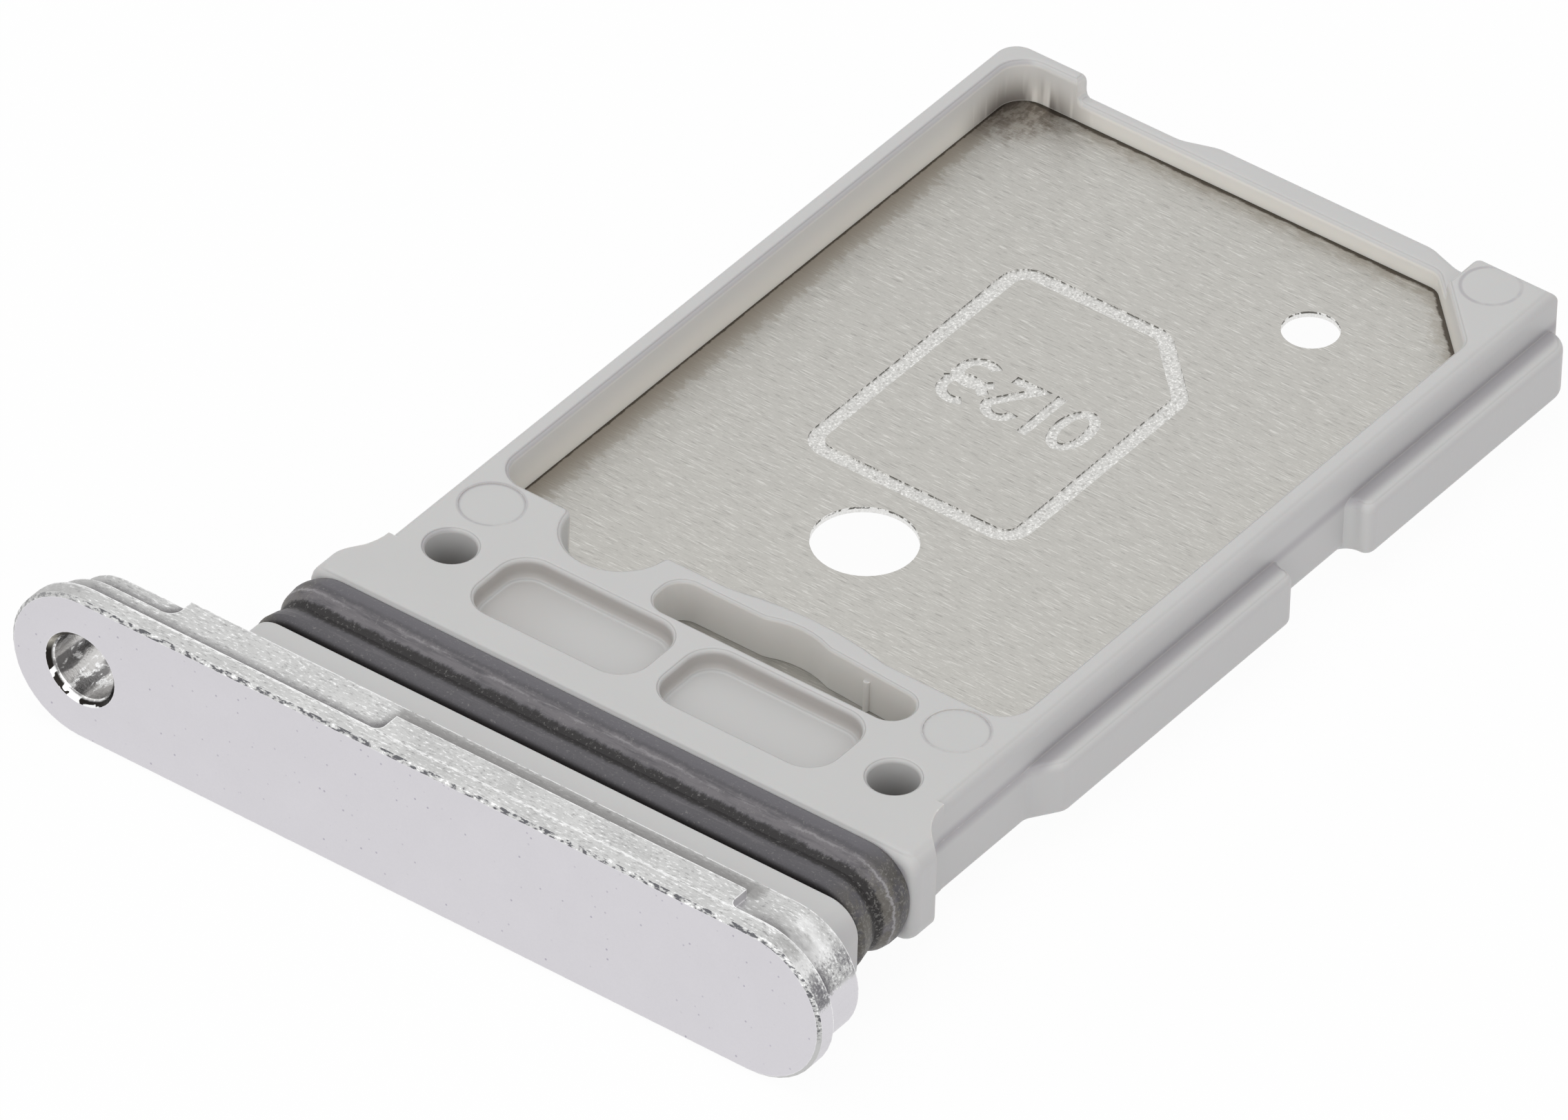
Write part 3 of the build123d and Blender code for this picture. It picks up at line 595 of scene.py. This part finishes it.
def makeSealRubber(m):
    f = Finish("rubber")
    p = f.place()
    x, y, _ = f.parts(p)
    fine = f.noise(p, m["grain"], 2, 0.6)
    streaks = f.noise(f.stretch(p, m["streakStretch"]), 1.0, 4, 0.65)
    patchy = f.noise(p, m["patchScale"], 4, 0.7)
    ragged = f.noise(f.stretch(p, m["wanderStretch"]), 1.0, 5, 0.8) - 0.5
    colour = f.shade(m["colour"], 0.8 + 0.4 * fine)
    fromFront = y - sealLow.y
    fromBack = sealHigh.y - y
    along = fromFront + m["wander"] * ragged

    # painted light in streaks on the slopes of both lips, and a greyer back
    colour = f.mix(f.band(along, *m["slopeBand"]) * f.rise(streaks, 0.30, 0.58), colour, m["lip"])
    back = f.rise(along, 0.86, 0.94) * f.rise(fromBack, 0.02, 0.06)
    colour = f.mix(back * 0.8, colour, m["back"])
    frontStreak = f.band(along, *m["frontStreak"]) * f.rise(streaks, 0.46, 0.62)
    colour = f.mix(frontStreak * 0.5, colour, m["lip"])

    # thin rubber at the two ends is a little olive
    middle = (sealLow.x + sealHigh.x) / 2
    reach = (sealHigh.x - sealLow.x) / 2
    ends = f.rise(f.size(x - middle), reach - 0.75, reach - 0.1)
    colour = f.mix(ends * f.rise(patchy, 0.36, 0.56) * 0.7, colour, m["endOlive"])

    # painted shade in the valley, then a fine painted highlight on the second crest, and painted shade
    # behind it at the ends
    colour = f.mix(f.band(along, *m["valleyBand"]) * 0.95, colour, m["valley"])
    crest = f.near(along, m["crest"], 0.008, 0.028) * (0.6 + 0.4 * ends)
    colour = f.mix(crest * f.rise(streaks + 0.15 * ends, 0.42, 0.60), colour, m["crestHighlight"])
    behind = f.rise(fromFront, 0.84, 0.90) * f.rise(fromBack, 0.03, 0.09)
    colour = f.mix(behind * 0.4 * ends, colour, m["valley"])

    # dust clings to it, and painted shade lies where it meets the front collar
    dust = f.rise(f.noise(p, m["dustScale"], 4, 0.75) + 0.06 * ends, 0.58, 0.66)
    colour = f.mix(dust * 0.45, colour, m["dust"])
    colour = f.mix(f.rise(fromFront, 0.06, 0.01) * 0.9, colour, m["valley"])

    height = fine * 0.6 + streaks + patchy * 0.8
    f.fill(Base_Color=colour, Roughness=m["roughness"] + 0.12 * (fine - 0.5),
           Specular_IOR_Level=m["shine"], Normal=f.bump(height, m["depth"], 0.6))
    f.wear("seal_ring")


makeFaceMetal(faceMetal)
makeFramePlastic(framePlastic)
makeSheetSteel(sheetSteel)
makeSealRubber(sealRubber)


def seesBackground(f):
    # 1 for the rays that show the background: straight, or in gloss or glass
    rays = f.node("ShaderNodeLightPath").socket.node
    straight, inGloss, inGlass = (Signal(f, rays.outputs["Is " + kind + " Ray"])
                                  for kind in ("Camera", "Glossy", "Transmission"))
    return f.most(f.most(straight, inGloss), inGlass)


def outward(azimuth, elevation):
    # unit vector from the part to where the two angles point
    az, el = math.radians(azimuth), math.radians(elevation)
    return Vector((math.sin(az) * math.cos(el), -math.cos(az) * math.cos(el), math.sin(el)))


# plain pale floor in metres; the camera sees it lifted to white, with the shadow kept
floor = {
    "side": 4.0,
    "colour": (0.97, 0.97, 0.97),
    "lifted": (1.0, 1.0, 1.0),
    "lift": 0.95,
}


def makeFloor(c):
    bpy.ops.mesh.primitive_plane_add(size=c["side"], location=(0, 0, cadLow[2]))
    plane = bpy.context.object
    plane.name = "floor"
    f = Finish("floor")
    grey = f.node("ShaderNodeBsdfDiffuse", None, {"Color": c["colour"]})
    white = f.node("ShaderNodeEmission", None, {"Color": c["lifted"], "Strength": 1.0})
    both = f.node("ShaderNodeMixShader", None, {0: seesBackground(f) * c["lift"], 1: grey, 2: white})
    f.tree.links.new(both.socket, f.tree.nodes["Material Output"].inputs["Surface"])
    plane.data.materials.append(f.material)
    print("floor laid")


makeFloor(floor)


# soft studio light: a pale room and large soft lamps, in degrees, metres and watts
studio = {
    "roomColour": (1.0, 1.0, 1.0),
    "room": 0.60,
    "lamps": (
        {"name": "overhead", "azimuth": -60, "elevation": 76,
         "reach": 0.30, "side": 0.24, "watts": 0.22},
        {"name": "front", "azimuth": 15, "elevation": 22,
         "reach": 0.35, "side": 0.30, "watts": 0.24},
        {"name": "right", "azimuth": 80, "elevation": 40,
         "reach": 0.35, "side": 0.20, "watts": 0.06},
    ),
}


def makeStudio(c):
    world = bpy.data.worlds.new("room")
    bpy.context.scene.world = world
    world.use_nodes = True
    world.node_tree.nodes.clear()
    f = Finish("room", world.node_tree)
    room = f.node("ShaderNodeBackground", None, {"Color": c["roomColour"], "Strength": c["room"]})
    white = f.node("ShaderNodeBackground", None, {"Color": c["roomColour"], "Strength": 1.0})
    both = f.node("ShaderNodeMixShader", None, {0: seesBackground(f), 1: room, 2: white})
    f.node("ShaderNodeOutputWorld", None, {"Surface": both})
    for lamp in c["lamps"]:
        data = bpy.data.lights.new(lamp["name"], "AREA")
        data.size = lamp["side"]
        data.energy = lamp["watts"]
        away = outward(lamp["azimuth"], lamp["elevation"])
        shine = bpy.data.objects.new(lamp["name"], data)
        shine.location = away * lamp["reach"]
        shine.rotation_euler = away.to_track_quat("Z", "Y").to_euler()
        bpy.context.scene.collection.objects.link(shine)
    print("studio lit")


makeStudio(studio)


# camera at the photograph's viewpoint, in millimetres and degrees; clip in metres
camera = {
    "aim": (0.44, -1.617, 1.28),
    "azimuth": 35.494,
    "elevation": 38.620,
    "roll": 1.901,
    "distance": 300.22,
    "lens": 490.1,
    "sensor": 36,
    "clip": (0.01, 10),
}


def makeCamera(c):
    az, roll = math.radians(c["azimuth"]), math.radians(c["roll"])
    back = outward(c["azimuth"], c["elevation"])
    side = Vector((math.cos(az), math.sin(az), 0))
    up = back.cross(side)
    right = side * math.cos(roll) + up * math.sin(roll)
    top = up * math.cos(roll) - side * math.sin(roll)
    data = bpy.data.cameras.new("camera")
    data.lens = c["lens"]
    data.sensor_width = c["sensor"]
    data.clip_start, data.clip_end = c["clip"]
    viewer = bpy.data.objects.new("camera", data)
    bpy.context.scene.collection.objects.link(viewer)
    spot = (Vector(c["aim"]) + back * c["distance"]) * mm
    turn = Matrix((right, top, back)).transposed()
    viewer.matrix_world = Matrix.Translation(spot) @ turn.to_4x4()
    bpy.context.scene.camera = viewer
    print("camera placed")


makeCamera(camera)
bpy.context.scene.view_settings.view_transform = "Standard"
